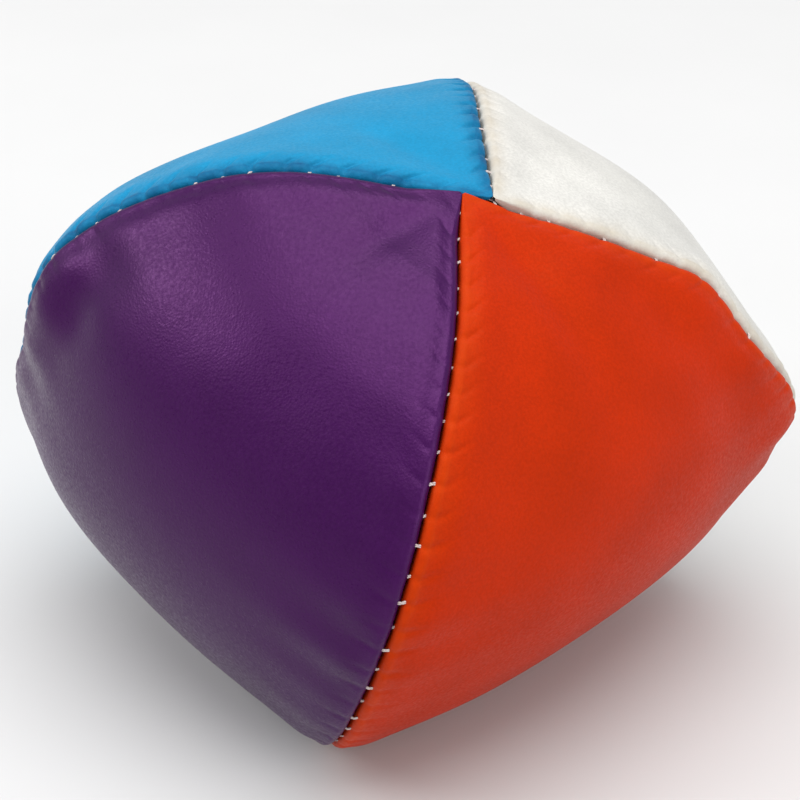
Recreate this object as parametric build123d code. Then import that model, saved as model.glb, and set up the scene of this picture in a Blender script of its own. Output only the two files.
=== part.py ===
from build123d import *

import os
from math import acos, cos, pi, radians, sin, sqrt

# A four-panel beanbag juggling ball, at rest on a table. Millimetres, +Z up. The origin is on the
# table under the middle of the ball.
#
# The cover is described in the pole frame first: the four panels meet at two poles on its Z axis,
# and their seams lie in its XZ and YZ planes. Settling tilts that frame, slumps it and lifts it to
# the table, which then cuts the bottom flat.

# Cover, as sewn and stuffed
FLAT_TO_FLAT = 60.0        # across the middles of two opposite panels
POLE_TO_POLE = 58.0
HOOP_CENTRE = 34.0         # a panel's crosswise arcs are centred this far behind the pole axis
LENGTHWISE_POWER = 2.6     # how square a panel's lengthwise curve is at its middle
CROSSWISE_POWER = 1.65     # and how blunt near the poles

# How the ball lies
TILT_X = 18.0
TILT_Y = 14.0
SLUMP = 0.88               # share of its height that it keeps when it sags
CENTRE_HEIGHT = 24.1       # table to the middle of the ball

# Leather cloth and sewing
CLOTH = 0.9
ALLOWANCE = 4.5            # how far a turned-in edge reaches below the cloth
THREAD = 0.30
THREAD_PLAY = 0.05         # between a thread and the cloth that it lies on
STITCH = 2.5
STITCH_DEPTH = 1.9         # from the outside of the ball down to the line of stitches
LEG_GAP = 0.32             # between the two legs of one thread in a needle hole
NEEDLE_HOLE = 0.7
HALF_SEAM_START = 1.9      # from a pole to the first stitch of a half seam
JOINING_START = 1.4        # from a pole to the nearest stitch of the joining seam
CLOSING_FIRST = 5          # the filling gap's first needle hole, counted from the lower pole
CLOSING_HOLES = 12
KNOT = 1.0

# Filling
FILLING_PLAY = 0.15        # between the seed and the cover
SEAM_CLEARANCE = CLOTH + 4 * THREAD

BIG = 200.0
PROFILE_SPANS = 12         # spans of a lengthwise curve, from pole to pole

# The panels round the pole axis, each with the direction of its middle in degrees
PANELS = {
    "white_panel": 45,
    "blue_panel": 135,
    "purple_panel": 225,
    "orange_panel": 315,
}

# The seams, by direction in degrees from the pole axis
PURPLE_ORANGE = 270
BLUE_WHITE = 90
ORANGE_WHITE = 0
BLUE_PURPLE = 180


# Shape of the stuffed cover

def middle_bulge(height, inset):
    """Distance from the pole axis to a panel's middle line, at a height along the axis."""
    reach = POLE_TO_POLE / 2 - inset
    level = min(abs(height) / reach, 1.0)
    return (FLAT_TO_FLAT / 2 - inset) * (1 - level**LENGTHWISE_POWER) ** (1 / CROSSWISE_POWER)


def seam_radius(height, inset):
    """Distance from the pole axis to a seam, where two neighbouring panels meet."""
    hoop = HOOP_CENTRE + middle_bulge(height, inset)
    half_angle = acos(HOOP_CENTRE / (hoop * sqrt(2))) - pi / 4
    return sqrt(2) * hoop * sin(half_angle)


def heights(inset):
    """Heights from the lower pole to the upper one, closer together near the poles."""
    reach = POLE_TO_POLE / 2 - inset
    return [-reach * cos(pi * span / PROFILE_SPANS) for span in range(PROFILE_SPANS + 1)]


def direction(azimuth):
    return Vector(cos(radians(azimuth)), sin(radians(azimuth)), 0)


# Settling on the table

def tilt(thing):
    return Rot(Y=TILT_Y) * Rot(X=TILT_X) * thing


def settle(solid):
    """Move a solid from the pole frame to where it rests."""
    return Pos(0, 0, CENTRE_HEIGHT) * scale(tilt(solid), by=(1, 1, SLUMP))


def settle_point(point, inset):
    """Move a point from the pole frame, and draw it towards the middle if the table is too near."""
    tilted = tilt(Pos(point)).position
    settled = Vector(tilted.X, tilted.Y, tilted.Z * SLUMP)
    deepest = CENTRE_HEIGHT - inset
    if -settled.Z > deepest:
        settled *= deepest / -settled.Z
    return settled + Vector(0, 0, CENTRE_HEIGHT)


def settle_normal(normal):
    """Normal of a plane through the middle of the ball, after tilting and slumping."""
    tilted = tilt(Pos(normal)).position
    return Vector(tilted.X, tilted.Y, tilted.Z / SLUMP).normalized()


# Cutting tools

def bulge(middle, inset):
    """The settled solid inside one panel's surface, which is moved in by an inset."""
    reach = POLE_TO_POLE / 2 - inset
    points = [(middle_bulge(height, inset), 0, height) for height in heights(inset)]
    curve = Spline(*points, tangents=((1, 0, 0), (-1, 0, 0)))
    back = Polyline((0, 0, reach), (-HOOP_CENTRE, 0, reach), (-HOOP_CENTRE, 0, -reach), (0, 0, -reach))
    hoop_axis = Axis((-HOOP_CENTRE, 0, 0), (0, 0, 1))
    section = make_face([curve, back]).rotate(hoop_axis, -35)
    return settle(Rot(Z=middle) * revolve(section, hoop_axis, 70))


def half_space(normal, inset):
    """All that lies past a plane through the middle of the ball, moved along its normal."""
    face = Plane(origin=Vector(0, 0, CENTRE_HEIGHT) + normal * inset, z_dir=normal)
    return face * Box(BIG, BIG, BIG, align=(Align.CENTER, Align.CENTER, Align.MIN))


def above_table(inset):
    return Pos(0, 0, inset) * Box(BIG, BIG, BIG, align=(Align.CENTER, Align.CENTER, Align.MIN))


def lobe(middle, inset, seam_inset):
    """One quarter of the ball, moved in from the outside and from its two seam planes."""
    quarter = bulge(middle, inset) & above_table(inset)
    for side in (45, -45):
        quarter &= half_space(settle_normal(direction(middle + side)), seam_inset)
    return quarter


# Seams and stitches

def seam_line(azimuth):
    """The line that the needle follows along one seam, from the lower pole to the upper one."""
    points = []
    for height in heights(STITCH_DEPTH):
        out = direction(azimuth) * seam_radius(height, STITCH_DEPTH)
        points.append(settle_point(out + Vector(0, 0, height), STITCH_DEPTH))
    return Spline(*points)


def needle_holes(azimuth, start):
    """Place and direction of travel of every needle hole on one seam."""
    line = seam_line(azimuth)
    count = round((line.length - 2 * start) / STITCH)
    holes = []
    for hole in range(count + 1):
        share = (start + (line.length - 2 * start) * hole / count) / line.length
        holes.append((line @ share, line % share))
    return holes


def reverse_travel(holes):
    return [(place, travel * -1) for place, travel in reversed(holes)]


def tube(points, width):
    path = Polyline(*points)
    section = Plane(origin=path @ 0, z_dir=path % 0) * Circle(width / 2)
    return sweep(section, path=path, transition=Transition.RIGHT)


def lockstitch(holes, normal):
    """One of the two threads of a machine seam: along the cloth, and into each hole and back."""
    above = normal * (CLOTH + THREAD_PLAY + THREAD / 2)
    locked = normal * (THREAD / 2)
    points = []
    for place, travel in holes:
        half_gap = travel * (LEG_GAP / 2)
        points += [place - half_gap + above, place - half_gap + locked]
        points += [place + half_gap + locked, place + half_gap + above]
    return tube(points, THREAD)


def ladder_stitch(holes, normal):
    """The hand-sewn closing thread: it crosses from one folded edge to the other at each hole."""
    above = normal * (CLOTH + THREAD_PLAY + THREAD / 2)
    points = [holes[0][0] + above]
    for place, travel in holes[1:]:
        points += [place + above, place - above]
        above = above * -1
    thread = tube(points[:-1], THREAD)
    knot_place = holes[0][0] + normal * (CLOTH + THREAD_PLAY + KNOT / 2)
    return thread + Pos(knot_place) * Sphere(KNOT / 2)


def hole_cutter(place, normal):
    reach = 2 * (CLOTH + THREAD_PLAY)
    return Plane(origin=place, z_dir=normal) * Cylinder(NEEDLE_HOLE / 2, reach)


def pole_channel(start, end, offset):
    """The hole that the joining thread takes through the turned-in edges at a pole."""
    return tube([start + offset, end + offset], THREAD + THREAD_PLAY)


# Pieces

def panel(middle):
    """One panel of the cover: its cloth, its two turned-in edges and their needle holes."""
    cloth = lobe(middle, 0, 0)
    cloth -= lobe(middle, CLOTH, CLOTH)
    cloth -= lobe(middle, CLOTH + ALLOWANCE, 0)
    for azimuth in (middle - 45, (middle + 45) % 360):
        cloth -= [hole_cutter(place, normals[azimuth]) for place, travel in holes[azimuth]]
    return cloth - pole_channels


def filling():
    """The packed seed: four lobes between the turned-in edges, joined by a core below them."""
    seed = Part()
    for middle in PANELS.values():
        seed += lobe(middle, CLOTH + FILLING_PLAY, SEAM_CLEARANCE)
        seed += lobe(middle, CLOTH + ALLOWANCE + FILLING_PLAY, 0)
    return seed


half_normal = settle_normal(direction(ORANGE_WHITE))
joining_normal = settle_normal(direction(BLUE_WHITE))
normals = {
    PURPLE_ORANGE: half_normal,
    BLUE_WHITE: half_normal,
    ORANGE_WHITE: joining_normal,
    BLUE_PURPLE: joining_normal,
}
holes = {
    PURPLE_ORANGE: needle_holes(PURPLE_ORANGE, HALF_SEAM_START),
    BLUE_WHITE: needle_holes(BLUE_WHITE, HALF_SEAM_START),
    ORANGE_WHITE: needle_holes(ORANGE_WHITE, JOINING_START),
    BLUE_PURPLE: needle_holes(BLUE_PURPLE, JOINING_START),
}

# The joining seam is one closed line through both poles, less the gap that was closed by hand.
gap_end = CLOSING_FIRST + CLOSING_HOLES
closing_holes = holes[BLUE_PURPLE][CLOSING_FIRST:gap_end]
joining_holes = holes[BLUE_PURPLE][gap_end:]
joining_holes += reverse_travel(holes[ORANGE_WHITE])
joining_holes += holes[BLUE_PURPLE][:CLOSING_FIRST]

run_offset = joining_normal * (CLOTH + THREAD_PLAY + THREAD / 2)
pole_channels = [
    pole_channel(holes[BLUE_PURPLE][pole][0], holes[ORANGE_WHITE][pole][0], run_offset * side)
    for pole in (0, -1)
    for side in (1, -1)
]

pieces = {name: panel(middle) for name, middle in PANELS.items()}
pieces["purple_orange_needle_thread"] = lockstitch(holes[PURPLE_ORANGE], half_normal)
pieces["purple_orange_bobbin_thread"] = lockstitch(holes[PURPLE_ORANGE], half_normal * -1)
pieces["blue_white_needle_thread"] = lockstitch(holes[BLUE_WHITE], half_normal)
pieces["blue_white_bobbin_thread"] = lockstitch(holes[BLUE_WHITE], half_normal * -1)
pieces["joining_needle_thread"] = lockstitch(joining_holes, joining_normal)
pieces["joining_bobbin_thread"] = lockstitch(joining_holes, joining_normal * -1)
pieces["closing_thread"] = ladder_stitch(closing_holes, joining_normal)
pieces["millet_filling"] = filling()

os.makedirs("parts", exist_ok=True)
for name, piece in pieces.items():
    export_step(piece, f"parts/{name}.step")
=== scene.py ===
import math

import bpy
import numpy as np
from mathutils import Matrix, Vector, kdtree


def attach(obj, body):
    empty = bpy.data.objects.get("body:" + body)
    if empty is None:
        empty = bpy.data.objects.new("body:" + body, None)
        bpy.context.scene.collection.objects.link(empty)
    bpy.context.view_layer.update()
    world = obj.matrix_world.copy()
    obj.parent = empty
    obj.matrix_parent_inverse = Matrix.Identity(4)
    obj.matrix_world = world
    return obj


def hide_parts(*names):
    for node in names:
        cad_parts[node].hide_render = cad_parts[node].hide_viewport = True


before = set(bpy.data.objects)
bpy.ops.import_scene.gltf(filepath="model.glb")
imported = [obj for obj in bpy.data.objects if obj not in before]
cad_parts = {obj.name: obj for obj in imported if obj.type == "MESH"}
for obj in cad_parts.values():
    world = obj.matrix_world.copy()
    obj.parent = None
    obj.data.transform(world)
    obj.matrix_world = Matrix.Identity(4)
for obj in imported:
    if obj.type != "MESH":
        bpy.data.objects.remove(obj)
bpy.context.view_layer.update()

# A four-panel beanbag juggling ball. Shapes are worked out in millimetres, in the frame of the
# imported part, and written to Blender in metres.
#
# A place on the cover has three parts: the panel, how far along it from the lower pole (0) to the
# upper pole (1), and how far across it from one seam (-1) to the other (1).

MM = 0.001

# Cover as sewn and stuffed, the same as the part
FLAT_TO_FLAT = 60.0       # across the middles of two opposite panels
POLE_TO_POLE = 58.0
HOOP_CENTRE = 34.0        # a panel's crosswise arcs are centred this far behind the pole axis
LENGTHWISE_POWER = 2.6    # how square a panel's lengthwise curve is at its middle
CROSSWISE_POWER = 1.65    # and how blunt near the poles

# How the ball lies, the same as the part
TILT_X = math.radians(18.0)
TILT_Y = math.radians(14.0)
SLUMP = 0.88              # share of its height that it keeps when it sags
CENTRE_HEIGHT = 24.1      # table to the middle of the ball
MIDDLE = np.array([0, 0, CENTRE_HEIGHT])
TABLE_SOFTNESS = 0.5      # how gradually the underside bends onto the table

# Leather cloth and sewing
CLOTH = 0.9
ALLOWANCE = 4.5           # how far a turned-in edge reaches below the cloth
FOLD_RADIUS = 0.62        # of the outside of a folded edge
THREAD = 0.17
STITCH = 2.5
HALF_SEAM_START = 1.9     # from a pole to the first stitch of a half seam
JOINING_START = 1.4       # from a pole to the nearest stitch of the joining seam
CLOSING_FIRST = 5         # the filling gap's first stitch, counted from the lower pole
CLOSING_HOLES = 12

# Panels by the direction of their middle round the pole axis, in degrees. Panel 0 lies between
# seam 0 and seam 1, panel 1 between seam 1 and seam 2, and so on.
PANELS = ["white_panel", "blue_panel", "purple_panel", "orange_panel"]
MIDDLES = [45, 135, 225, 315]
ORANGE_WHITE, BLUE_WHITE, BLUE_PURPLE, PURPLE_ORANGE = range(4)

# Rows and columns of a panel's mesh, and of the coarser one that is simulated
ROWS = 620
HALF_COLUMNS = 40
CLOTH_ROWS = 90
CLOTH_COLUMNS = 27
TURN_SAMPLES = 6001

rng = np.random.default_rng(4)


# ---------------------------------------------------------------- shape of the stuffed cover

def middle_bulge(height):
    """Distance from the pole axis to a panel's middle line, at a height along the axis."""
    level = np.clip(np.abs(height) / (POLE_TO_POLE / 2), 0, 1)
    return FLAT_TO_FLAT / 2 * (1 - level**LENGTHWISE_POWER) ** (1 / CROSSWISE_POWER)


def hoop(turn):
    """Radius and half angle of a panel's crosswise arc. Turn runs from 0 to pi, pole to pole."""
    radius = HOOP_CENTRE + middle_bulge(POLE_TO_POLE / 2 * np.cos(turn))
    half_angle = np.arccos(HOOP_CENTRE / (radius * math.sqrt(2))) - math.pi / 4
    return radius, half_angle


def turn_table():
    """Turns, and how far along a seam each of them is, from 0 to 1."""
    turn = np.linspace(0, math.pi, TURN_SAMPLES)
    radius, half_angle = hoop(turn)
    out = math.sqrt(2) * radius * np.sin(half_angle)
    height = -POLE_TO_POLE / 2 * np.cos(turn)
    steps = np.hypot(np.diff(out), np.diff(height))
    length = np.concatenate([[0], np.cumsum(steps)])
    return turn, length / length[-1]


TURNS, SHARES = turn_table()


def pole_frame_points(panel, along, across):
    """Places on a panel, in the frame that has the two poles on its Z axis."""
    turn = np.interp(along, SHARES, TURNS)
    radius, half_angle = hoop(turn)
    angle = across * half_angle
    out = radius * np.cos(angle) - HOOP_CENTRE
    side = radius * np.sin(angle)
    middle = math.radians(MIDDLES[panel])
    x = out * math.cos(middle) - side * math.sin(middle)
    y = out * math.sin(middle) + side * math.cos(middle)
    return np.stack([x, y, -POLE_TO_POLE / 2 * np.cos(turn)], -1)


def settle(points):
    """Tilt and slump points of the pole frame. The middle of the ball stays at the origin."""
    cos_x, sin_x = math.cos(TILT_X), math.sin(TILT_X)
    cos_y, sin_y = math.cos(TILT_Y), math.sin(TILT_Y)
    x, y, z = points[..., 0], points[..., 1], points[..., 2]
    y, z = cos_x * y - sin_x * z, sin_x * y + cos_x * z
    x, z = cos_y * x + sin_y * z, cos_y * z - sin_y * x
    return np.stack([x, y, z * SLUMP], -1)


def rest_on_table(points):
    """Lift points to the table and press what would be under it flat."""
    x, y, z = points[..., 0], points[..., 1], points[..., 2] + CENTRE_HEIGHT
    z = (z + np.sqrt(z * z + TABLE_SOFTNESS**2)) / 2
    return np.stack([x, y, z], -1)


def unit(vectors):
    """Vectors scaled to a length of one."""
    return vectors / np.maximum(np.linalg.norm(vectors, axis=-1, keepdims=True), 1e-12)


# How this ball lies apart from the even shape, where its filling has sunk or gathered. Each feature
# has a place on the cover (panel, along, across), a reach, how far it stands out from the middle of
# the ball, and how far it leans across its panel towards the next seam. Lengths are millimetres.
FEATURES = {
    "joining_seam_stands_up": ("purple_panel", 0.84, -1.0, 10, 1.0, -1.0),
    "left_shoulder_sags": ("purple_panel", 0.56, -1.0, 8, 0.0, 3.5),
    "left_corner_is_blunt": ("purple_panel", 0.50, -1.0, 8, -1.0, 0.0),
    "purple_side_is_full": ("purple_panel", 0.42, -0.5, 11, 1.0, 0.0),
    "blue_shoulder_is_full": ("blue_panel", 0.57, 0.75, 8, 2.5, 0.0),
    "blue_side_is_slack": ("blue_panel", 0.66, 0.1, 9, -1.0, 0.0),
    "back_seam_leans_right": ("blue_panel", 0.75, -1.0, 9, -0.5, -0.5),
    "white_side_is_full": ("white_panel", 0.75, -0.2, 10, 1.5, 0.0),
    "knee_in_the_right_seam": ("white_panel", 0.79, -1.0, 4, 1.0, 0.5),
    "right_seam_below_the_knee": ("white_panel", 0.70, -1.0, 5, -0.5, -1.5),
    "right_corner_sticks_out": ("white_panel", 0.60, -1.0, 5, 1.0, 0.0),
    "right_seam_below_the_corner": ("white_panel", 0.48, -1.0, 5, -0.5, 0.0),
    "orange_underside_is_hollow": ("orange_panel", 0.34, 0.1, 14, -2.0, 0.0),
    "purple_ridge_left": ("purple_panel", 0.69, -0.55, 7, 0.6, 0.0),
    "purple_ridge_middle": ("purple_panel", 0.72, 0.0, 7, 0.6, 0.0),
    "purple_ridge_right": ("purple_panel", 0.75, 0.55, 7, 0.6, 0.0),
    "purple_hollow_below": ("purple_panel", 0.62, 0.2, 8, -0.8, 0.0),
    "crease_at_the_left_corner": ("purple_panel", 0.60, -0.86, 3, 0.5, 0.0),
    "dent_beside_the_crease": ("purple_panel", 0.62, -0.72, 3, -0.3, 0.0),
    "dent_by_the_knee": ("orange_panel", 0.76, 0.86, 4, -0.5, 0.0),
}
LEAN_PROBE = 0.05         # how far across on either side a feature's leaning is measured


def shape_by_hand(points):
    """Stand each feature out from the even shape, less and less with distance from its place."""
    shaped = points.copy()
    for panel, along, across, reach, out, aside in FEATURES.values():
        nearby = across + np.array([-LEAN_PROBE, 0.0, LEAN_PROBE])
        places = pole_frame_points(PANELS.index(panel), np.full(3, along), nearby)
        before, centre, after = settle(places)
        nearness = np.exp(-np.sum((points - centre) ** 2, -1) / reach**2)
        shaped += nearness[..., None] * (unit(centre) * out + unit(after - before) * aside)
    return shaped


# ---------------------------------------------------------------- places on the finished cover

SLIP = 1.3                # how far each half of the cover was sewn off centre at a pole
SLIP_REACH = 11.0
SLIP_SIDES = [1, 1, -1, -1]   # white and blue are one half, purple and orange the other

POLES = [settle(np.array([0.0, 0.0, end * POLE_TO_POLE / 2])) for end in (-1, 1)]
SLIP_DIRECTION = unit(settle(np.array([1.0, 0.0, 0.0])))


def slip(points, panel):
    """The two halves of the cover were joined a little off centre, so their seams miss each other."""
    moved = points.copy()
    for pole in POLES:
        nearness = np.exp(-np.sum((points - pole) ** 2, -1) / SLIP_REACH**2)
        moved += nearness[..., None] * SLIP_DIRECTION * (SLIP * SLIP_SIDES[panel])
    return moved


def sample_grid(field, rows, columns):
    """Catmull-Rom interpolation of a grid of vectors, at fractional rows and columns."""
    def weights(fraction):
        t = fraction[..., None]
        return [
            ((-t + 2) * t - 1) * t / 2,
            ((3 * t - 5) * t) * t / 2 + 1,
            ((-3 * t + 4) * t + 1) * t / 2,
            ((t - 1) * t) * t / 2,
        ]

    row_floor = np.clip(np.floor(rows).astype(int), 0, field.shape[0] - 2)
    column_floor = np.clip(np.floor(columns).astype(int), 0, field.shape[1] - 2)
    row_weights = weights(rows - row_floor)
    column_weights = weights(columns - column_floor)
    total = 0.0
    for i, row_weight in enumerate(row_weights):
        row = np.clip(row_floor + i - 1, 0, field.shape[0] - 1)
        for j, column_weight in enumerate(column_weights):
            column = np.clip(column_floor + j - 1, 0, field.shape[1] - 1)
            total = total + row_weight * column_weight * field[row, column]
    return total


def slumped(panel, along, across):
    """Places before the cloth simulation, relative to the middle of the ball."""
    along, across = np.broadcast_arrays(along, across)
    return shape_by_hand(settle(pole_frame_points(panel, along, across)))


def half_width(along):
    """Distance from a panel's middle line to its seams, measured round the surface."""
    turn = np.interp(along, SHARES, TURNS)
    radius, half_angle = hoop(turn)
    return radius * half_angle


SEAM_LENGTH = 95.0        # roughly, for waves of an even length
GATHER_WAVES = [5.4, 8.1]
GATHER_HEIGHT = 0.20
GATHER_REACH = 2.6        # how far beside a seam its gathers stand out most
GATHERS_ALL_ALONG = 0.15
GATHERS_AT_BEND = 0.40    # how much stronger they are where the ball bulges out to its corners
BEND = 0.56               # share of the way along at which it does
BEND_REACH = 0.13
SHARED_GATHERS = 0.4      # what both panels of a seam share, as against what each has alone
SEAM_RISE = 0.75          # how far the allowances inside hold the cover up along a seam
RISE_REACH = 3.5
FADE_WIDTH = 8.0          # half width below which gathers and billow fade towards a pole
GATHER_PHASES = rng.uniform(0, 2 * math.pi, (4, 3, len(GATHER_WAVES)))


def pole_fade(width):
    """A share that is 1 over most of the cover, and falls to 0 where a panel narrows to a pole."""
    return np.minimum(1, width / FADE_WIDTH) ** 2


def gather_wave(seam, side, along):
    """Waves along a seam from easing the cloth into it. Side 0 is what both panels share."""
    wave = 0.0
    for length, phase in zip(GATHER_WAVES, GATHER_PHASES[seam, side]):
        wave = wave + np.sin(along * SEAM_LENGTH * 2 * math.pi / length + phase)
    bend = np.exp(-((along - BEND) / BEND_REACH) ** 2)
    return wave * (GATHERS_ALL_ALONG + GATHERS_AT_BEND * bend)


def gathers(panel, along, across):
    """How far the cover stands out beside its seams, in gathers and over the allowances."""
    width = half_width(along)
    height = 0.0
    level = 1.0
    for side, seam in ((-1, panel), (1, (panel + 1) % 4)):
        distance = (1 - side * across) * width / GATHER_REACH
        own = distance * np.exp(1 - distance) * gather_wave(seam, side, along)
        shared = SHARED_GATHERS * np.exp(-distance) * gather_wave(seam, 0, along)
        height = height + own + shared
        level = level * (1 - np.exp(-((1 - side * across) * width / RISE_REACH) ** 2))
    return height * GATHER_HEIGHT * pole_fade(width) + (1 - level) * SEAM_RISE


def cover(panel, along, across, billow):
    """Finished places on the outside of the cover, on the table."""
    along, across = np.broadcast_arrays(along, across)
    points = slumped(panel, along, across)
    points = points + unit(points) * gathers(panel, along, across)[..., None]
    if billow is not None:
        rows = along * (CLOTH_ROWS - 1)
        columns = (across + 1) / 2 * (CLOTH_COLUMNS - 1)
        fade = pole_fade(half_width(along))[..., None]
        points = points + sample_grid(billow[panel], rows, columns) * fade
    return rest_on_table(slip(points, panel))


# ---------------------------------------------------------------- meshes

LOOK = "_look"


def make_object(name, points, faces, material, smooth=True):
    """A mesh object with one material, from points in millimetres."""
    mesh = bpy.data.meshes.new(name)
    mesh.from_pydata((np.asarray(points) * MM).tolist(), [], faces)
    mesh.validate()
    mesh.polygons.foreach_set("use_smooth", [smooth] * len(mesh.polygons))
    mesh.materials.append(material)
    mesh.update()
    piece = bpy.data.objects.new(name + LOOK, mesh)
    bpy.context.scene.collection.objects.link(piece)
    return piece


def node_name(piece):
    """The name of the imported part's node that a piece replaces."""
    return piece.name.removesuffix(LOOK)


def loop_faces(rings, around):
    """Quads between successive closed rings of points, with a lid on each end."""
    ring = np.arange(rings - 1)[:, None] * around
    here = np.arange(around)[None]
    after = (here + 1) % around
    quads = np.stack([ring + here, ring + after, ring + around + after, ring + around + here], -1)
    faces = quads.reshape(-1, 4).tolist()
    faces.append(list(range(around))[::-1])
    faces.append([(rings - 1) * around + i for i in range(around)])
    return faces


# ---------------------------------------------------------------- cloth simulation of the cover

CLOTH_SCALE = 0.1         # the simulation's units for one millimetre
CLOTH_FRAMES = 24
CLOTH_EXCESS = 0.012      # share by which the panels were cut larger than their seams hold
START_SLACK = 1.05        # how far inside their filled shape the panels start
BILLOW_LIMIT = 0.8        # furthest that a place may move from its filled shape


def welded_cover(rows, columns):
    """One closed mesh of the four panels: index of each grid place, and the faces."""
    index = np.zeros((4, rows, columns), int)
    count = 2
    seam_index = np.zeros((4, rows), int)
    for seam in range(4):
        seam_index[seam, 1:-1] = np.arange(count, count + rows - 2)
        count += rows - 2
    seam_index[:, -1] = 1
    for panel in range(4):
        index[panel, 1:-1, 1:-1] = np.arange((rows - 2) * (columns - 2)).reshape(rows - 2, -1) + count
        count += (rows - 2) * (columns - 2)
        index[panel, :, 0] = seam_index[panel]
        index[panel, :, -1] = seam_index[(panel + 1) % 4]
        index[panel, 0] = 0
        index[panel, -1] = 1
    faces = []
    for panel in range(4):
        grid = index[panel]
        corners = [grid[:-1, :-1], grid[:-1, 1:], grid[1:, 1:], grid[1:, :-1]]
        for quad in np.stack(corners, -1).reshape(-1, 4).tolist():
            faces.append(list(dict.fromkeys(quad)))
    return index, faces, count


def add_cloth(piece):
    """Supple cloth, blown up by its filling and held along its seams."""
    cloth = piece.modifiers.new("cloth", "CLOTH")
    settings = cloth.settings
    settings.quality = 8
    settings.mass = 0.3
    settings.tension_stiffness = 60
    settings.compression_stiffness = 60
    settings.shear_stiffness = 30
    settings.bending_stiffness = 25
    settings.air_damping = 3
    settings.shrink_min = -CLOTH_EXCESS
    settings.use_pressure = True
    settings.uniform_pressure_force = 3
    settings.vertex_group_mass = "seams"
    settings.effector_weights.gravity = 0
    cloth.collision_settings.use_collision = False
    cloth.collision_settings.use_self_collision = False


def simulate_cover():
    """Blow the sewn cover up against its seams, and return how far each place moved."""
    index, faces, count = welded_cover(CLOTH_ROWS, CLOTH_COLUMNS)
    along = np.linspace(0, 1, CLOTH_ROWS)[:, None]
    across = np.linspace(-1, 1, CLOTH_COLUMNS)[None]
    slack = START_SLACK * (1 - across**6) * np.sin(math.pi * along)
    filled = np.zeros((count, 3))
    start = np.zeros((count, 3))
    for panel in range(4):
        places = slumped(panel, along, across)
        filled[index[panel]] = places
        start[index[panel]] = places - unit(places) * slack[..., None]
    mesh = bpy.data.meshes.new("cloth")
    mesh.from_pydata((start * CLOTH_SCALE).tolist(), [], faces)
    cloth_object = bpy.data.objects.new("cloth", mesh)
    bpy.context.scene.collection.objects.link(cloth_object)
    seams = cloth_object.vertex_groups.new(name="seams")
    seams.add(np.unique(index[:, :, 0]).tolist(), 1.0, "ADD")
    add_cloth(cloth_object)
    scene = bpy.context.scene
    for frame_number in range(1, CLOTH_FRAMES + 1):
        scene.frame_set(frame_number)
    evaluated = cloth_object.evaluated_get(bpy.context.evaluated_depsgraph_get())
    end = np.zeros(count * 3, np.float32)
    evaluated.data.vertices.foreach_get("co", end)
    moved = end.reshape(-1, 3) / CLOTH_SCALE - filled
    length = np.linalg.norm(moved, axis=1, keepdims=True)
    moved *= np.tanh(length / BILLOW_LIMIT) * BILLOW_LIMIT / np.maximum(length, 1e-9)
    scene.frame_set(1)
    bpy.data.objects.remove(cloth_object)
    return [moved[index[panel]] for panel in range(4)]


# ---------------------------------------------------------------- seams

SEAM_PROBE = 1.5          # how far into a panel its slope is measured from the seam
STITCH_REACH = 0.38       # how far along a seam a stitch pulls the edges
STITCH_SPREAD = 0.12      # how unevenly the stitches are spaced
STITCH_STRENGTHS = (0.7, 1.25)
STITCH_LINE = 1.9         # depth of the machine sewing below the edge
CROSSING_DEPTH = 0.90     # depth at which a thread crosses between the folded edges
CROSSING_SPREAD = (-0.06, 0.30)
INWARD_BIAS = 0.35        # how much the allowances turn towards the middle of the ball
END_SHARE = 0.002         # share of a seam that the folds leave open at each pole


def row_places():
    """How far along its panel each row of the fine mesh lies."""
    return np.linspace(END_SHARE, 1 - END_SHARE, ROWS)


def dot(first, second):
    """Dot products, kept as a last axis of one."""
    return np.sum(first * second, -1, keepdims=True)


class Seam:
    """A seam's line, and the directions in which its folded edges turn, at every row."""

    def __init__(self, number, first_stitch, billow):
        along = row_places()
        probe = np.minimum(SEAM_PROBE, half_width(along) / 2) / half_width(along)
        after, before = number, (number - 1) % 4
        places = {after: (-1.0, -1 + probe), before: (1.0, 1 - probe)}
        self.edge = {}
        self.slope = {}
        for panel, (side, further_in) in places.items():
            self.edge[panel] = cover(panel, along, side, billow)
            beside = cover(panel, along, further_in, billow)
            self.slope[panel] = unit(beside - self.edge[panel])
        self.line = (self.edge[after] + self.edge[before]) / 2
        self.travel = unit(np.gradient(self.line, axis=0))
        to_middle = unit(MIDDLE - self.line)
        self.slope = {panel: self.square(slope) for panel, slope in self.slope.items()}
        self.inward = self.square(self.slope[after] + self.slope[before] + INWARD_BIAS * to_middle)
        sideways = unit(np.cross(self.travel, self.inward))
        sideways = sideways * np.sign(dot(sideways, self.slope[after] - self.slope[before]))
        self.sideways = {after: sideways, before: -sideways}
        steps = np.linalg.norm(np.diff(self.line, axis=0), axis=1)
        self.length = np.concatenate([[0], np.cumsum(steps)])
        room = self.length[-1] - 2 * first_stitch
        self.stitches = first_stitch + np.linspace(0, room, round(room / STITCH) + 1)
        self.stitches[1:-1] += rng.normal(0, STITCH_SPREAD, len(self.stitches) - 2)
        self.pull = {panel: self.stitch_pull() for panel in (after, before)}
        self.depths = CROSSING_DEPTH + rng.uniform(*CROSSING_SPREAD, len(self.stitches))

    def square(self, vectors):
        """Unit vectors with their part along the seam taken out."""
        return unit(vectors - dot(vectors, self.travel) * self.travel)

    def stitch_pull(self):
        """How hard the nearest stitch pulls at every row. Some stitches are tighter than others."""
        strength = rng.uniform(*STITCH_STRENGTHS, len(self.stitches))
        gaps = (self.length[:, None] - self.stitches) / STITCH_REACH
        return np.max(strength * np.exp(-gaps**2), axis=1)

    def at(self, vectors, place):
        """One of the row arrays, read at places along the seam in millimetres."""
        return np.stack([np.interp(place, self.length, vectors[:, axis]) for axis in range(3)], -1)


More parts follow.
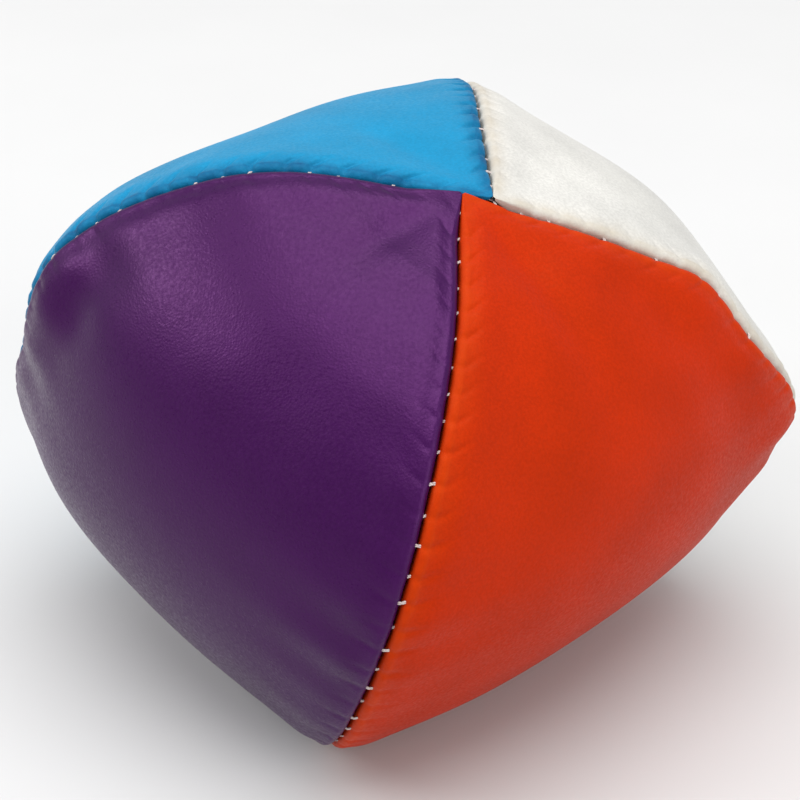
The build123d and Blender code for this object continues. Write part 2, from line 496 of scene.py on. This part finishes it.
# ---------------------------------------------------------------- panels

FOLD_POINTS = 9
OPEN_GAP = 0.10           # from the middle of a seam to a folded edge, between stitches
HELD_GAPS = [0.04, 0.18, 0.04, 0.04]     # and where a stitch pulls each panel's edge
SEWN_GAP = 0.04           # and down at the sewing
ALLOWANCE_BEND = 3.0      # a depth between the sewing and the end of the allowance
TENT_DEPTHS = [0.12, 0.32, 0.06, 0.14]   # how far stitches pull each panel's edge down
SEAM_SINK = 0.32          # how far the edges lie below the puffed cloth beside them
EDGE_REACH = 1.3          # how far into a panel its edge is drawn down
NARROW = 3.2              # half width below which a panel's folds and cloth get smaller
CORNER_COSINES = (-0.6, 0.95)            # limits that keep a fold neither open nor pinched
INNER_COLUMNS = 14
INNER_MARGIN = 2.4        # from a seam to where the inside of a panel begins
CROWDING = 0.35           # spacing of a panel's columns at its edge, as a share of an even one
FOLD_WEAR_AND_SHADING_REACH = 0.8          # how far past the fold the wear, painted shade and painted highlight of the folds go


def folded_edge(seam, panel):
    """An edge's points at every row: over the fold, down the allowance and back up inside.

    With them come how much of the panel's width the fold takes, and its inside corner.
    """
    scale = np.minimum(1, half_width(row_places()) / NARROW)[:, None]
    slope = seam.slope[panel]
    sideways = seam.sideways[panel]
    inward = seam.inward
    pull = seam.pull[panel][:, None]
    half_gap = OPEN_GAP + (HELD_GAPS[panel] - OPEN_GAP) * np.minimum(pull, 1)
    sunk = SEAM_SINK + TENT_DEPTHS[panel] * pull
    edge = seam.edge[panel] + (sideways * half_gap + inward * sunk) * scale
    corner = np.arccos(np.clip(dot(slope, inward), *CORNER_COSINES))
    radius = FOLD_RADIUS * scale
    tangent = radius / np.tan(corner / 2)
    middle = edge + unit(slope + inward) * radius / np.sin(corner / 2)
    first = unit(edge + slope * tangent - middle)
    last = unit(edge + inward * tangent - middle)
    sweep = np.arccos(np.clip(dot(first, last), -1, 1))
    points = []
    for share in np.linspace(0, 1, FOLD_POINTS):
        turned = np.sin((1 - share) * sweep) * first + np.sin(share * sweep) * last
        points.append(middle + radius * turned / np.sin(sweep))
    sewn = seam.edge[panel] + sideways * SEWN_GAP * scale
    depths = [STITCH_LINE, ALLOWANCE_BEND, ALLOWANCE]
    for depth in depths:
        points.append(sewn + inward * depth * scale)
    for depth in depths[::-1]:
        points.append(sewn + (inward * depth + sideways * CLOTH) * scale)
    inner_corner = seam.edge[panel] + unit(slope + inward) * CLOTH * scale / np.sin(corner / 2)
    return points, tangent[:, 0], inner_corner


def graded(columns):
    """Shares from 0 to 1, close together at 0."""
    x = np.linspace(0, 1, columns + 1)
    return CROWDING * x + (1 - CROWDING) * x * x


def column_places(left_tangent, right_tangent):
    """Places across a panel at every row, from fold to fold, close together at the folds."""
    width = half_width(row_places())[:, None]
    share = graded(HALF_COLUMNS)[None]
    from_left = left_tangent[:, None] + (width - left_tangent[:, None]) * share
    from_right = right_tangent[:, None] + (width - right_tangent[:, None]) * share[:, ::-1]
    return np.concatenate([from_left / width - 1, (1 - from_right / width)[:, 1:]], axis=1)


def outer_surface(panel, across, left_fold, right_fold, billow):
    """A panel's outer surface, drawn down beside its seams to meet the folds."""
    width = half_width(row_places())[:, None]
    points = cover(panel, row_places()[:, None], across, billow)
    edges = ((left_fold, 0, (across + 1) * width), (right_fold, -1, (1 - across) * width))
    for fold, column, distance in edges:
        step = fold - points[:, column]
        beyond = distance - distance[:, column][:, None]
        points = points + np.exp(-(beyond / EDGE_REACH) ** 2)[..., None] * step[:, None]
    return points


def inward_normals(grid):
    """Unit normals of a grid of points, towards the middle of the ball."""
    down = np.gradient(grid, axis=0)
    over = np.gradient(grid, axis=1)
    normal = unit(np.cross(down, over))
    return normal * np.sign(dot(normal, MIDDLE - grid))


def inner_surface(panel, billow):
    """A panel's inner surface, one thickness of cloth below its outer one."""
    width = half_width(row_places())[:, None]
    across = np.linspace(1, -1, INNER_COLUMNS)[None] * (1 - np.minimum(0.5, INNER_MARGIN / width))
    points = cover(panel, row_places()[:, None], across, billow)
    return points + inward_normals(points) * (CLOTH * np.minimum(1, width / NARROW))[..., None]


def add_fold_wear_and_shading(piece, across, around):
    """Mark how much of its fold colour each point of a panel takes: all of it at the folds, and less
    further in. That colour is real dirt on the white panel, painted shade on the blue one and a
    painted highlight on the orange one.
    """
    width = half_width(row_places())[:, None]
    from_seam = np.minimum((across + 1) * width, (1 - across) * width)[:, 1:-1]
    past_fold = np.maximum(from_seam - FOLD_RADIUS, 0)
    wear_and_shading_at_folds = np.ones((ROWS, around))
    wear_and_shading_at_folds[:, FOLD_POINTS : FOLD_POINTS + from_seam.shape[1]] = np.exp(-past_fold / FOLD_WEAR_AND_SHADING_REACH)
    wear = piece.data.attributes.new("wear", "FLOAT", "POINT")
    wear.data.foreach_set("value", wear_and_shading_at_folds.ravel())


def panel_mesh(panel, seams, billow, material):
    """A panel as one closed piece of cloth. Each row is a ring round its section."""
    left, left_tangent, left_corner = folded_edge(seams[panel], panel)
    right, right_tangent, right_corner = folded_edge(seams[(panel + 1) % 4], panel)
    across = column_places(left_tangent, right_tangent)
    left_rows = np.stack(left[::-1], 1)
    allowance_points = len(left) - FOLD_POINTS
    rings = np.concatenate(
        [
            left_rows[:, allowance_points:],
            outer_surface(panel, across, left[0], right[0], billow)[:, 1:-1],
            np.stack(right, 1),
            right_corner[:, None],
            inner_surface(panel, billow),
            left_corner[:, None],
            left_rows[:, :allowance_points],
        ],
        axis=1,
    )
    around = rings.shape[1]
    piece = make_object(PANELS[panel], rings.reshape(-1, 3), loop_faces(ROWS, around), material)
    add_fold_wear_and_shading(piece, across, around)
    return piece


# ---------------------------------------------------------------- threads

RUN_DEPTH = 1.75          # depth of a thread's runs from one stitch to the next
HOLE_OUT = 0.34           # from the middle of a seam to a needle hole
HOLE_DROP = 0.08          # how much deeper a hole is than the crossing
LOOP_OUT = -0.03          # how far past the middle of the seam a thread's loop reaches
LEG_GAP = 0.13            # between the two legs of a thread in a needle hole
LEG_SPREAD = 3            # how many times as far apart the legs are at the runs
LEAST_DEPTH = 0.5         # near the poles
SMALLER_WITHIN = 1.6 * NARROW      # distance from a pole below which the runs get smaller
SMALLEST_RUN = 0.25       # and the least share of their size that they keep
STRANDS = 3
STRAND_PITCH = 1.1
STRAND_GROOVE = 0.16      # depth of the grooves between strands, as a share of the radius
SLANT = 0.12              # how far a stitch leans along the seam
SLANT_SPREAD = 0.04
RING_SPACING = 0.12       # of a thread's mesh
RING_POINTS = 12
CORNER_CUTS = 2


def rounded(points):
    """Corners of a line of points cut off, again and again."""
    for _ in range(CORNER_CUTS):
        cut = np.empty((2 * len(points) - 2, 3))
        cut[0::2] = points[:-1] * 0.75 + points[1:] * 0.25
        cut[1::2] = points[:-1] * 0.25 + points[1:] * 0.75
        points = np.concatenate([points[:1], cut, points[-1:]])
    return points


def evenly_spaced(points, spacing):
    """Points at an even distance along a line of points."""
    steps = np.linalg.norm(np.diff(points, axis=0), axis=1)
    length = np.concatenate([[0], np.cumsum(steps)])
    places = np.linspace(0, length[-1], int(length[-1] / spacing) + 2)
    return np.stack([np.interp(places, length, points[:, axis]) for axis in range(3)], -1)


def twisted_thread(name, points, material):
    """A thread of twisted strands along a line of points."""
    line = evenly_spaced(rounded(points), RING_SPACING)
    travel = unit(np.gradient(line, axis=0))
    side = unit(np.cross(travel[0], [0.31, 0.23, 0.92]))
    sides = []
    for direction in travel:
        side = unit(side - direction * np.dot(side, direction))
        sides.append(side)
    sides = np.array(sides)
    ups = np.cross(travel, sides)
    turn = np.linspace(0, 2 * math.pi, RING_POINTS, endpoint=False)[None]
    twist = (np.arange(len(line)) * RING_SPACING / STRAND_PITCH * 2 * math.pi)[:, None]
    radius = THREAD / 2 * (1 - STRAND_GROOVE + STRAND_GROOVE * np.cos(STRANDS * turn))
    across = (radius * np.cos(turn + twist))[..., None] * sides[:, None]
    rings = line[:, None] + across + (radius * np.sin(turn + twist))[..., None] * ups[:, None]
    return make_object(name, rings.reshape(-1, 3), loop_faces(len(line), RING_POINTS), material)


def needle_place(seam, panel, place, out, depth, along=0.0):
    """A point beside a seam: how far out from its middle towards a panel, and how far down.

    Near a pole, the runs come closer and higher, because the folds get smaller there.
    """
    from_pole = min(place, seam.length[-1] - place)
    small = np.clip(from_pole / SMALLER_WITHIN, SMALLEST_RUN, 1)
    spot = seam.at(seam.line, place)
    sideways = unit(seam.at(seam.sideways[panel], place))
    inward = unit(seam.at(seam.inward, place))
    travel = unit(seam.at(seam.travel, place))
    down = max(depth * small, min(depth, LEAST_DEPTH))
    if out > HOLE_OUT:
        out = out * small
    return spot + sideways * out + inward * down + travel * along


def lockstitch(stitches):
    """One of a machine seam's two threads. It runs inside, and comes up into each stitch and back."""
    run_out = CLOTH + THREAD
    points = []
    for seam, panel, place, slant, forward in stitches:
        depth = np.interp(place, seam.stitches, seam.depths)
        for leg in (-1, 1):
            along = leg * forward * LEG_GAP / 2
            legs = [
                needle_place(seam, panel, place, run_out, RUN_DEPTH, along * LEG_SPREAD),
                needle_place(seam, panel, place, HOLE_OUT, depth + HOLE_DROP, along + slant),
                needle_place(seam, panel, place, LOOP_OUT, depth, along),
            ]
            points += legs[::-leg]
    return np.array(points)


def ladder_stitch(seam, first_panel, second_panel, places):
    """The hand-sewn closing thread, from one folded edge straight across to the other."""
    run_out = CLOTH + THREAD
    hole_depth = CROSSING_DEPTH + HOLE_DROP
    panels = [first_panel, second_panel]
    points = []
    for i, place in enumerate(places):
        here, there = panels[i % 2], panels[(i + 1) % 2]
        points.append(needle_place(seam, here, place, run_out, RUN_DEPTH))
        points.append(needle_place(seam, here, place, HOLE_OUT, hole_depth))
        points.append(needle_place(seam, there, place, HOLE_OUT, hole_depth))
        points.append(needle_place(seam, there, place, run_out, RUN_DEPTH))
    return np.array(points)


def stitch_list(seam, panel, places, slant_side, forward=1):
    """What lockstitch needs to know of each stitch, in the order in which they are sewn."""
    spread = np.random.default_rng(7).normal(0, SLANT_SPREAD, len(places))
    slants = slant_side * (SLANT + spread)
    return [(seam, panel, place, slant, forward) for place, slant in zip(places, slants)]


def make_threads(seams, material):
    """Two threads in each half seam, two in the joining seam, and one in its hand-sewn gap."""
    white, blue, purple, orange = range(4)
    gap_end = CLOSING_FIRST + CLOSING_HOLES
    blue_purple = seams[BLUE_PURPLE]
    orange_white = seams[ORANGE_WHITE]
    threads = []
    half_seams = (
        ("purple_orange", PURPLE_ORANGE, orange, purple),
        ("blue_white", BLUE_WHITE, white, blue),
    )
    for name, number, needle_side, bobbin_side in half_seams:
        seam = seams[number]
        for kind, panel, slant_side in (("needle", needle_side, 1), ("bobbin", bobbin_side, -1)):
            stitches = stitch_list(seam, panel, seam.stitches, slant_side)
            thread_name = f"{name}_{kind}_thread"
            threads.append(twisted_thread(thread_name, lockstitch(stitches), material))
    joining_sides = (("needle", blue, white, 1), ("bobbin", purple, orange, -1))
    for kind, left_panel, right_panel, slant_side in joining_sides:
        up = stitch_list(blue_purple, left_panel, blue_purple.stitches[gap_end:], slant_side)
        back = orange_white.stitches[::-1]
        down = stitch_list(orange_white, right_panel, back, slant_side, forward=-1)
        rest = stitch_list(blue_purple, left_panel, blue_purple.stitches[:CLOSING_FIRST], slant_side)
        points = lockstitch(up + down + rest)
        threads.append(twisted_thread(f"joining_{kind}_thread", points, material))
    closing_places = blue_purple.stitches[CLOSING_FIRST:gap_end]
    points = ladder_stitch(blue_purple, blue, purple, closing_places)
    threads.append(twisted_thread("closing_thread", points, material))
    return threads


# ---------------------------------------------------------------- filling

FILLING_ROWS = 150
FILLING_COLUMNS = 41
LEAST_WIDTH = 0.3         # half width that a panel is taken to have at its poles
FILLING_PLAY = 0.6        # between the cloth and the seeds
GROOVE_REACH = 4.0        # half width of the groove that a seam's allowances leave in the seeds
GROOVE_SPARE = 1.8        # how much deeper than the allowances it is
POLE_SPARE = 3.5          # how much further the seeds stay from the crowded ends of the seams
SEED = 2.0                # size of a millet seed
SEED_BUMP = 0.35
SEED_CROWDING = 1.3       # seeds for each square of a seed's width
SEED_SPACING = 1.3        # how far a bump falls away, as a share of a seed's radius


def seed_hollows(places):
    """How far each place on the filling lies below the tops of the seeds round it."""
    reach = np.linalg.norm(places - MIDDLE, axis=1)
    seed_rng = np.random.default_rng(11)
    seed_count = int(SEED_CROWDING * 4 * math.pi * np.mean(reach) ** 2 / SEED**2)
    seeds = kdtree.KDTree(seed_count)
    for i, spot in enumerate(places[seed_rng.integers(0, len(places), seed_count)]):
        seeds.insert(Vector(spot), i)
    seeds.balance()
    nearest = np.array([seeds.find(Vector(place))[2] for place in places])
    return SEED_BUMP * np.clip(nearest / (SEED / 2), 0, SEED_SPACING) ** 2


def filling_mesh(billow, material):
    """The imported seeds: the inside of the cover, with a groove for the allowances at each seam."""
    index, faces, count = welded_cover(FILLING_ROWS, FILLING_COLUMNS)
    along = np.linspace(0, 1, FILLING_ROWS)[:, None]
    across = np.linspace(-1, 1, FILLING_COLUMNS)[None]
    width = np.maximum(half_width(along), LEAST_WIDTH)
    from_seam = (1 - np.abs(across)) * width
    groove = np.exp(-(from_seam / GROOVE_REACH) ** 4)
    depth = (CLOTH + FILLING_PLAY) + (ALLOWANCE + GROOVE_SPARE - CLOTH) * groove
    depth = depth + np.where(width < NARROW, POLE_SPARE, 0.0)
    places = np.zeros((count, 3))
    shares = np.zeros((count, 1))
    for panel in range(4):
        surface = cover(panel, along, across, billow)
        grid = surface + inward_normals(surface) * depth[..., None]
        for edge in (0, -1):
            to_middle = unit(MIDDLE - surface[:, edge])
            grid[:, edge] = surface[:, edge] + to_middle * depth[:, edge][:, None]
        np.add.at(places, index[panel].ravel(), grid.reshape(-1, 3))
        np.add.at(shares, index[panel].ravel(), 1)
    places /= shares
    places = places + unit(MIDDLE - places) * seed_hollows(places)[:, None]
    return make_object("millet_filling", places, faces, material)


# ---------------------------------------------------------------- materials

PEBBLE = 0.22             # sizes of the leather cloth's grain and mottling, in millimetres
SPECK = 0.24
GLOSS_PATCH = 0.3
WRINKLE = 0.35
FOLD_WEAR_AND_SHADING_PATCH = 1.8
DIMPLE = 5.0
MOTTLE = 7.0
ROUGHNESS_SPREAD = 0.10


def new_material(name, roughness):
    """A material, its node tree and its shader."""
    material = bpy.data.materials.new(name)
    material.use_nodes = True
    shader = material.node_tree.nodes["Principled BSDF"]
    shader.inputs["Roughness"].default_value = roughness
    return material, material.node_tree, shader


def add_node(tree, kind, links=None, **values):
    """A node with its settings and socket values. Links maps socket names to other sockets."""
    node = tree.nodes.new(kind)
    for name, value in values.items():
        if hasattr(node, name):
            setattr(node, name, value)
        else:
            node.inputs[name.replace("_", " ").title()].default_value = value
    for name, source in (links or {}).items():
        tree.links.new(source, node.inputs[name])
    return node


def noise(tree, coordinates, size, detail=3.0):
    """Noise with lumps of a size in millimetres."""
    links = {"Vector": coordinates}
    node = add_node(tree, "ShaderNodeTexNoise", links, scale=1 / (size * MM), detail=detail)
    return node.outputs["Fac"]


def ramp(tree, factor, stops):
    """A colour ramp from (position, colour) stops."""
    node = add_node(tree, "ShaderNodeValToRGB", {"Fac": factor})
    elements = node.color_ramp.elements
    elements[0].position, elements[0].color = stops[0]
    elements[1].position, elements[1].color = stops[-1]
    for position, color in stops[1:-1]:
        elements.new(position).color = color
    return node.outputs["Color"]


def shade(color, factor):
    """A colour made lighter or darker, with the fourth channel that a socket wants."""
    return tuple(channel * factor for channel in color) + (1.0,)


def mix(tree, factor, first, second, blend_type="MIX"):
    """Two colours mixed. Each of the three values may be a number, a colour or a socket."""
    node = add_node(tree, "ShaderNodeMix", data_type="RGBA", blend_type=blend_type)
    sockets = (node.inputs[0], node.inputs[6], node.inputs[7])
    for socket, value in zip(sockets, (factor, first, second)):
        if isinstance(value, bpy.types.NodeSocket):
            tree.links.new(value, socket)
        else:
            socket.default_value = value
    return node.outputs[2]


def bump(tree, height, distance, strength=1.0, normal=None):
    """A normal bumped by a height, on top of another one if it is given."""
    links = {"Height": height}
    if normal is not None:
        links["Normal"] = normal
    node = add_node(tree, "ShaderNodeBump", links, strength=strength, distance=distance * MM)
    return node.outputs["Normal"]


def object_coordinates(tree):
    """Coordinates that stay with a piece when it moves."""
    return add_node(tree, "ShaderNodeTexCoord").outputs["Object"]


def leather_color(tree, coordinates, color, wear_and_shading_at_folds):
    """Mottled and finely speckled, with the fold colour in patches along the folded edges: real dirt
    on the white panel, painted shade on the blue one and a painted highlight on the orange one.
    """
    mottle = noise(tree, coordinates, MOTTLE)
    cloudy = ramp(tree, mottle, [(0.3, shade(color, 0.90)), (0.7, shade(color, 1.06))])
    speck = noise(tree, coordinates, SPECK, 2.0)
    speckled = ramp(tree, speck, [(0.35, (0.78, 0.78, 0.78, 1)), (0.65, (1, 1, 1, 1))])
    base = mix(tree, 0.6, cloudy, speckled, "MULTIPLY")
    edge = add_node(tree, "ShaderNodeAttribute", attribute_name="wear").outputs["Fac"]
    patchy = noise(tree, coordinates, FOLD_WEAR_AND_SHADING_PATCH)
    wear = add_node(tree, "ShaderNodeMath", operation="MULTIPLY")
    tree.links.new(edge, wear.inputs[0])
    tree.links.new(patchy, wear.inputs[1])
    # Patches of the fold colour: painted shade on blue, a painted highlight on orange, real dirt on
    # white.
    return mix(tree, wear.outputs[0], base, shade(wear_and_shading_at_folds, 1.0))


def leather_grain(tree, coordinates):
    """Pebbles, with finer wrinkles and shallow dimples over them."""
    pebble_scale = 1 / (PEBBLE * MM)
    pebbles = add_node(tree, "ShaderNodeTexVoronoi", {"Vector": coordinates}, scale=pebble_scale)
    normal = bump(tree, pebbles.outputs["Distance"], 0.03, 0.45)
    normal = bump(tree, noise(tree, coordinates, WRINKLE, 3.0), 0.02, 0.3, normal)
    return bump(tree, noise(tree, coordinates, DIMPLE, 2.0), 0.10, 0.4, normal)


def leather_cloth(name, color, wear_and_shading_at_folds, tint, gloss, roughness):
    """Satin imitation leather with a fine pebble grain."""
    material, tree, shader = new_material(name, roughness)
    coordinates = object_coordinates(tree)
    tree.links.new(leather_color(tree, coordinates, color, wear_and_shading_at_folds), shader.inputs["Base Color"])
    white = (1.0, 1.0, 1.0)
    smooth = shade(white, roughness - ROUGHNESS_SPREAD)
    dull = shade(white, roughness + ROUGHNESS_SPREAD)
    rough = ramp(tree, noise(tree, coordinates, GLOSS_PATCH, 2.0), [(0.3, smooth), (0.7, dull)])
    tree.links.new(rough, shader.inputs["Roughness"])
    shader.inputs["Specular IOR Level"].default_value = gloss
    shader.inputs["Specular Tint"].default_value = shade(tint, 1.0)
    tree.links.new(leather_grain(tree, coordinates), shader.inputs["Normal"])
    return material


def thread_material():
    """Pale, slightly dirty sewing thread."""
    material, tree, shader = new_material("thread", 0.7)
    coordinates = object_coordinates(tree)
    tone = noise(tree, coordinates, 0.6)
    color = ramp(tree, tone, [(0.3, (0.42, 0.33, 0.32, 1)), (0.7, (0.68, 0.60, 0.57, 1))])
    tree.links.new(color, shader.inputs["Base Color"])
    normal = bump(tree, noise(tree, coordinates, 0.08, 3.0), 0.02)
    tree.links.new(normal, shader.inputs["Normal"])
    return material


def millet_material():
    """Packed seed in tones of straw."""
    material, tree, shader = new_material("millet", 0.5)
    coordinates = object_coordinates(tree)
    tone = noise(tree, coordinates, 1.8, 2.0)
    color = ramp(tree, tone, [(0.35, (0.50, 0.33, 0.10, 1)), (0.65, (0.76, 0.58, 0.24, 1))])
    tree.links.new(color, shader.inputs["Base Color"])
    normal = bump(tree, noise(tree, coordinates, 0.4, 3.0), 0.05)
    tree.links.new(normal, shader.inputs["Normal"])
    return material


def floor_material():
    """A matt pale surface with hardly any variation."""
    material, tree, shader = new_material("floor", 0.8)
    coordinates = object_coordinates(tree)
    tone = noise(tree, coordinates, 40.0)
    color = ramp(tree, tone, [(0.3, (0.62, 0.62, 0.62, 1)), (0.7, (0.635, 0.635, 0.635, 1))])
    tree.links.new(color, shader.inputs["Base Color"])
    return material


# ---------------------------------------------------------------- the ball

# Each panel's colour, its colour at its folded edges, the tint of its gloss, how strong that gloss
# is, and its roughness. The colour at the folds is real dirt on the white panel, painted shade on the
# blue one, a painted highlight on the orange one, and a little lighter than the cloth on the purple
# one.
LEATHERS = {
    "white_panel": ((0.61, 0.60, 0.57), (0.47, 0.41, 0.32), (1.0, 1.0, 0.95), 0.25, 0.47),
    # The blue panel's fold colour is painted shade, much darker than its cloth.
    "blue_panel": ((0.008, 0.24, 0.46), (0.001, 0.02, 0.10), (0.30, 0.80, 1.0), 0.25, 0.50),
    "purple_panel": ((0.028, 0.002, 0.046), (0.036, 0.004, 0.055), (0.9, 0.32, 1.0), 0.38, 0.36),
    # The orange panel's fold colour is a painted highlight, lighter than its cloth.
    "orange_panel": ((0.44, 0.019, 0.001), (0.50, 0.040, 0.003), (1.0, 0.35, 0.10), 0.25, 0.55),
}


def make_ball():
    """The four panels, the filling and the threads."""
    billow = simulate_cover()
    starts = {PURPLE_ORANGE: HALF_SEAM_START, BLUE_WHITE: HALF_SEAM_START}
    seams = [Seam(number, starts.get(number, JOINING_START), billow) for number in range(4)]
    panels = []
    for number, name in enumerate(PANELS):
        material = leather_cloth(name.replace("panel", "leather_cloth"), *LEATHERS[name])
        panels.append(panel_mesh(number, seams, billow, material))
    filling = filling_mesh(billow, millet_material())
    threads = make_threads(seams, thread_material())
    return panels, filling, threads


SIZE_SAMPLES = 400


def sheet_size(panel):
    """Width and length of a panel's blank, and the area of the pointed oval cut from it."""
    along = np.linspace(0, 1, SIZE_SAMPLES)
    middle_line = slumped(panel, along, 0.0)
    length = np.sum(np.linalg.norm(np.diff(middle_line, axis=0), axis=1))
    width = 2 * half_width(along)
    shown = np.sum((width[1:] + width[:-1]) / 2) * length / (SIZE_SAMPLES - 1)
    area = shown + 2 * ALLOWANCE * length
    blank_width = width.max() + 2 * ALLOWANCE
    blank_length = length + 2 * ALLOWANCE
    return blank_width * MM, blank_length * MM, area * MM * MM


def declare(panels, filling, threads):
    """Work out each panel's blank, attach every piece to the part's root body, and hide the node of
    the part that it replaces.
    """
    for number, panel in enumerate(panels):
        width, length, area = sheet_size(number)
    for piece in panels + [filling] + threads:
        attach(piece, "root")
        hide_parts(node_name(piece))


# ---------------------------------------------------------------- floor, light and camera

FLOOR_REACH = 2000.0      # in millimetres
WORLD_LIGHT = 0.62
LAMP_TARGET = (0, 0, 0.02)     # in metres, like the places of the lamps
VIEW_TILT = math.radians(30.0)
VIEW_DISTANCE = 0.190
VIEW_LENS = 92.4
VIEW_RIGHT = 0.4          # how far beside the middle of the ball the camera aims, in millimetres
VIEW_DOWN = 0.55          # and how far below it


def make_floor():
    """The table that the ball lies on, which is no part of it."""
    corner_signs = ((-1, -1), (1, -1), (1, 1), (-1, 1))
    corners = [(x * FLOOR_REACH, y * FLOOR_REACH, 0.0) for x, y in corner_signs]
    make_object("floor", corners, [[0, 1, 2, 3]], floor_material(), smooth=False)


def aim(thing, target):
    """Turn a lamp or camera towards a point."""
    direction = Vector(target) - thing.location
    thing.rotation_euler = direction.to_track_quat("-Z", "Y").to_euler()


def area_light(name, place, size, power):
    """A round soft light that shines on the ball."""
    light = bpy.data.lights.new(name, "AREA")
    light.shape = "DISK"
    light.size = size
    light.energy = power
    lamp = bpy.data.objects.new(name, light)
    lamp.location = place
    bpy.context.scene.collection.objects.link(lamp)
    aim(lamp, LAMP_TARGET)


def make_lights():
    """An even white surrounding, and three soft lamps."""
    world = bpy.data.worlds.new("studio")
    bpy.context.scene.world = world
    world.use_nodes = True
    background = world.node_tree.nodes["Background"]
    background.inputs["Color"].default_value = (1.0, 1.0, 1.0, 1.0)
    background.inputs["Strength"].default_value = WORLD_LIGHT
    area_light("overhead", place=(0.02, -0.08, 0.8), size=0.8, power=5.6)
    area_light("left", place=(-0.56, -0.05, 0.48), size=0.35, power=1.7)
    area_light("front_right", place=(0.46, -0.40, 0.26), size=0.5, power=1.2)


def make_camera():
    """A long lens in front of the ball and above it."""
    camera = bpy.data.cameras.new("camera")
    camera.lens = VIEW_LENS
    camera.sensor_width = 36.0
    camera.clip_start = 0.01
    eye = bpy.data.objects.new("camera", camera)
    middle = Vector(MIDDLE * MM)
    toward_eye = Vector((0, -math.cos(VIEW_TILT), math.sin(VIEW_TILT)))
    upward = Vector((0, math.sin(VIEW_TILT), math.cos(VIEW_TILT)))
    eye.location = middle + toward_eye * VIEW_DISTANCE
    bpy.context.scene.collection.objects.link(eye)
    aim(eye, middle + Vector((VIEW_RIGHT * MM, 0, 0)) - upward * (VIEW_DOWN * MM))
    bpy.context.scene.camera = eye


panels, filling, threads = make_ball()
declare(panels, filling, threads)
make_floor()
make_lights()
make_camera()
bpy.context.scene.view_settings.view_transform = "Standard"
